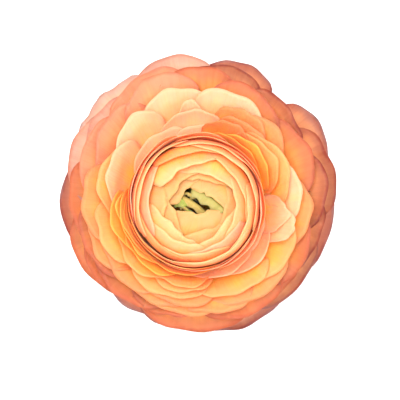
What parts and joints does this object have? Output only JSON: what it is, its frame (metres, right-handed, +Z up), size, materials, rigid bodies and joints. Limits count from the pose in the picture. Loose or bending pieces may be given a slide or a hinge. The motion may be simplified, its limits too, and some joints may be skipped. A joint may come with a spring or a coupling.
{
  "type": "cut ranunculus bloom",
  "caption": "Double, peach-orange ranunculus bloom with rows of thin overlapping petals round a green eye, lying face up on a short cut stem.",
  "frame": {"origin": "centre of the footprint, on the surface that the bloom rests on", "axes": "+Z up along the bloom's axis, from the cut stem to the green eye; the inner cup leans towards -Y"},
  "size_m": [0.0698, 0.0698, 0.034],
  "materials": {
    "outer_petal": "dusky salmon-pink petal, satin",
    "middle_petal": "peach-orange petal, satin",
    "inner_petal": "cream-apricot petal, satin",
    "petaloid": "pale yellow-green folded petaloid, matte",
    "carpel": "green carpels, slightly waxy",
    "sepal": "green sepal, matte",
    "stem": "smooth green stem with a pale cut face"
  },
  "bodies": {
    "root": {"carpel_heap": "carpel", "cup_petal_a_1": "inner_petal", "cup_petal_a_2": "inner_petal", "cup_petal_a_3": "inner_petal", "cup_petal_b_1": "inner_petal", "cup_petal_b_2": "inner_petal", "cup_petal_b_3": "inner_petal", "cup_petal_c_1": "inner_petal", "cup_petal_c_2": "inner_petal", "cup_petal_c_3": "inner_petal", "green_petaloid_1": "petaloid", "green_petaloid_2": "petaloid", "green_petaloid_3": "petaloid", "green_petaloid_4": "petaloid", "guard_petal_1": "outer_petal", "guard_petal_2": "outer_petal", "guard_petal_3": "outer_petal", "guard_petal_4": "outer_petal", "inner_petal_a_1": "inner_petal", "inner_petal_a_2": "inner_petal", "inner_petal_a_3": "inner_petal", "inner_petal_a_4": "inner_petal", "inner_petal_b_1": "inner_petal", "inner_petal_b_2": "inner_petal", "inner_petal_b_3": "inner_petal", "inner_petal_b_4": "inner_petal", "middle_petal_a_1": "middle_petal", "middle_petal_a_2": "middle_petal", "middle_petal_a_3": "middle_petal", "middle_petal_a_4": "middle_petal", "middle_petal_a_5": "middle_petal", "middle_petal_b_1": "middle_petal", "middle_petal_b_2": "middle_petal", "middle_petal_b_3": "middle_petal", "middle_petal_b_4": "middle_petal", "middle_petal_b_5": "middle_petal", "middle_petal_c_1": "middle_petal", "middle_petal_c_2": "middle_petal", "middle_petal_c_3": "middle_petal", "middle_petal_c_4": "middle_petal", "middle_petal_c_5": "middle_petal", "outer_petal_a_1": "outer_petal", "outer_petal_a_2": "outer_petal", "outer_petal_a_3": "outer_petal", "outer_petal_b_1": "outer_petal", "outer_petal_b_2": "outer_petal", "outer_petal_b_3": "outer_petal", "outer_petal_b_4": "outer_petal", "outer_petal_b_5": "outer_petal", "outer_petal_c_1": "outer_petal", "outer_petal_c_2": "outer_petal", "outer_petal_c_3": "outer_petal", "outer_petal_c_4": "outer_petal", "outer_petal_c_5": "outer_petal", "sepal_1": "sepal", "sepal_2": "sepal", "sepal_3": "sepal", "sepal_4": "sepal", "sepal_5": "sepal", "stem": "stem"}
  },
  "joints": []
}
